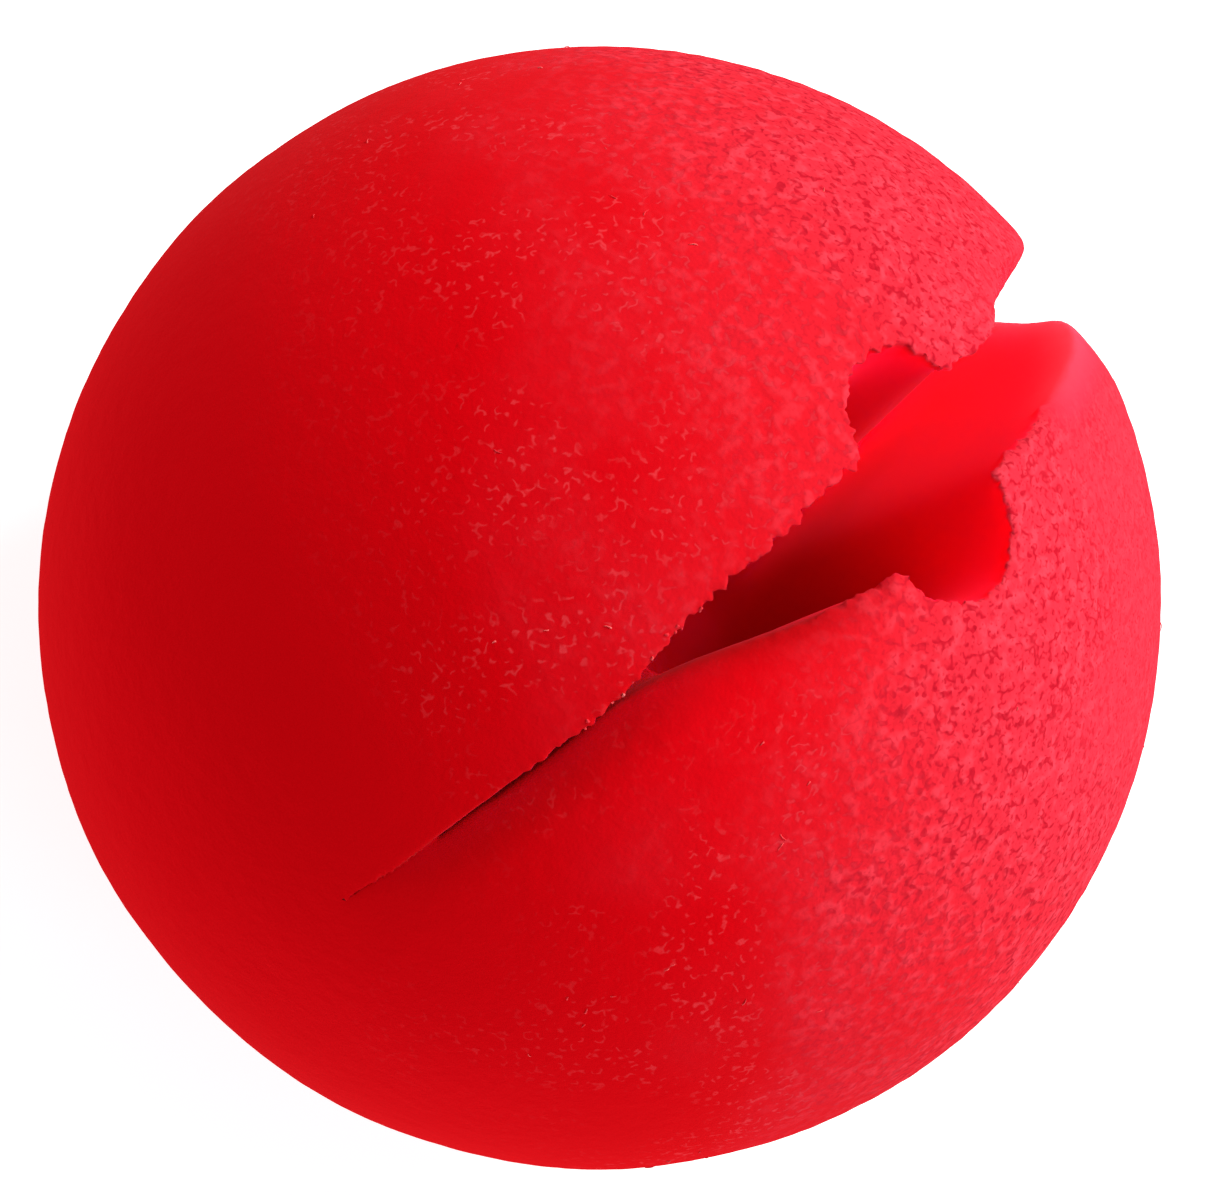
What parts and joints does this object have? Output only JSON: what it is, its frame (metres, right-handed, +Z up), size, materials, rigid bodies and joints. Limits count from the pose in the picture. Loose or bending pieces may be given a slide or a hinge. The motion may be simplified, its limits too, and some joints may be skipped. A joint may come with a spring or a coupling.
{
  "type": "clown nose",
  "caption": "Round soft foam clown nose with a gaping knife slit and a punched hole that grip the tip of the wearer's nose.",
  "frame": {"origin": "centre of the small flat that the ball rests on, under the middle of the ball", "axes": "+Z up out of the nose hole, +X along the slit towards its gaping end, +Y across the slit towards the lip that stands straight"},
  "size_m": [0.05, 0.05, 0.0496],
  "materials": {
    "foam": "matt open-cell foam, dyed through"
  },
  "bodies": {
    "root": {"foam_ball": "foam"}
  },
  "joints": []
}
